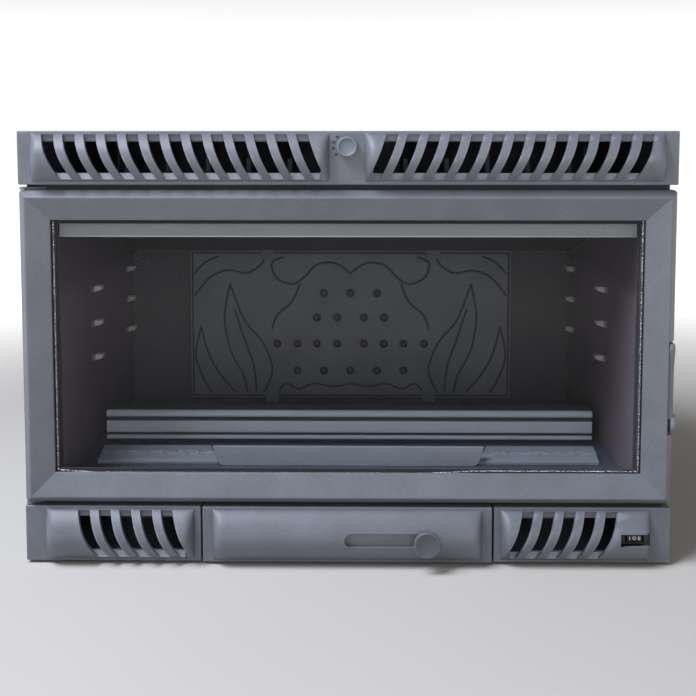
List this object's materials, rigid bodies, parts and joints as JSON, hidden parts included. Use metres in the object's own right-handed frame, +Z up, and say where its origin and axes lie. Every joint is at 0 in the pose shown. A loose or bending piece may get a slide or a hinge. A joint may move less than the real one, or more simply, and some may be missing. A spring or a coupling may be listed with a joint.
{
  "type": "fireplace insert",
  "caption": "Wide cast-iron fireplace insert with a framed glass door, slanted louvre grilles, an ash drawer with an air slider and a visible hearth.",
  "frame": {"origin": "centre of the underside of the base tray, which the insert rests on", "axes": "+X to the right seen from the front, the door faces -Y, +Z is up"},
  "size_m": [0.7024, 0.472, 0.4695],
  "materials": {
    "painted_cast": "matte blue-grey stove paint over sand-cast iron",
    "dark_cast": "dark matte stove paint on cast iron, firebox side",
    "painted_sheet": "matte grey painted steel sheet",
    "galvanised": "zinc-coated steel sheet",
    "bright_steel": "plain turned or rolled steel",
    "deflector_steel": "pale grey heat-proof painted steel sheet",
    "clear_glass": "clear ceramic stove glass",
    "braid": "black and white flecked glass-fibre braid",
    "black_plastic": "black moulded plastic"
  },
  "bodies": {
    "insert": {"base_tray": "painted_sheet", "casing_wrap": "painted_sheet", "casing_back": "painted_sheet", "front_frame": "dark_cast", "firebox_floor": "dark_cast", "firebox_side_left": "dark_cast", "firebox_side_right": "dark_cast", "firebox_back": "dark_cast", "fireback_plate": "dark_cast", "baffle_plate": "dark_cast", "firebox_top": "dark_cast", "flue_collar": "painted_cast", "air_wash_deflector": "deflector_steel", "ash_grate": "dark_cast", "log_guard": "painted_cast", "hearth_apron": "painted_cast", "hearth_block_left": "painted_cast", "hearth_block_right": "painted_cast", "hinge_bracket_bottom": "painted_cast", "hinge_bracket_top": "painted_cast", "hinge_pin_bottom": "bright_steel", "hinge_pin_top": "bright_steel", "latch_keeper": "bright_steel", "top_grille": "painted_cast", "bottom_grille_left": "painted_cast", "bottom_grille_right": "painted_cast", "drawer_runner_left": "galvanised", "drawer_runner_right": "galvanised", "channel_back": "galvanised", "fan_housing_left": "galvanised", "fan_housing_right": "galvanised", "fan_motor_left": "painted_sheet", "fan_motor_right": "painted_sheet", "switch_body": "black_plastic", "terminal_box": "black_plastic", "cable_gland": "black_plastic"},
    "door": {"door_frame": "painted_cast", "glass_gasket": "braid", "door_glass": "clear_glass", "glass_bar_top": "bright_steel", "glass_bar_bottom": "bright_steel", "glass_bar_left": "bright_steel", "glass_bar_right": "bright_steel", "door_rope_seal": "braid", "handle_pin": "bright_steel"},
    "door_lever": {"handle_lever": "painted_cast", "latch_hook": "bright_steel"},
    "ash_drawer": {"drawer_front": "painted_cast", "ash_pan": "galvanised"},
    "air_slide": {"air_slider_knob": "painted_cast", "air_slider_stem": "bright_steel", "air_shutter": "painted_cast"},
    "flue_damper": {"damper_knob": "painted_cast", "damper_spindle": "bright_steel", "damper_vane": "dark_cast"},
    "fan_rotor_left": {"fan_impeller_left": "black_plastic"},
    "fan_rotor_right": {"fan_impeller_right": "black_plastic"},
    "fan_key": {"switch_key": "black_plastic"}
  },
  "joints": [
    {"name": "door_hinge", "type": "hinge", "parent": "insert", "child": "door", "pos_m": [-0.346, -0.209, 0.237], "axis": [0, 0, -1], "range_deg": [0, 110]},
    {"name": "lever_pivot", "type": "hinge", "parent": "door", "child": "door_lever", "pos_m": [0.347, -0.21, 0.156], "axis": [1, 0, 0], "range_deg": [0, 75]},
    {"name": "drawer_slide", "type": "slide", "parent": "insert", "child": "ash_drawer", "axis": [0, -1, 0], "range_m": [0, 0.25]},
    {"name": "air_slide_travel", "type": "slide", "parent": "ash_drawer", "child": "air_slide", "axis": [1, 0, 0], "range_m": [-0.08, 0]},
    {"name": "damper_turn", "type": "hinge", "parent": "insert", "child": "flue_damper", "pos_m": [0, -0.115, 0.453], "axis": [0, 1, 0], "range_deg": [0, 85]},
    {"name": "fan_spin_left", "type": "hinge", "parent": "insert", "child": "fan_rotor_left", "pos_m": [-0.245, -0.065, 0.039], "axis": [1, 0, 0], "continuous": true},
    {"name": "fan_spin_right", "type": "hinge", "parent": "insert", "child": "fan_rotor_right", "pos_m": [0.245, -0.065, 0.039], "axis": [1, 0, 0], "continuous": true},
    {"name": "fan_key_rock", "type": "hinge", "parent": "insert", "child": "fan_key", "pos_m": [0.309, -0.216, 0.0328], "axis": [0, 0, 1], "range_deg": [-10, 10]}
  ]
}
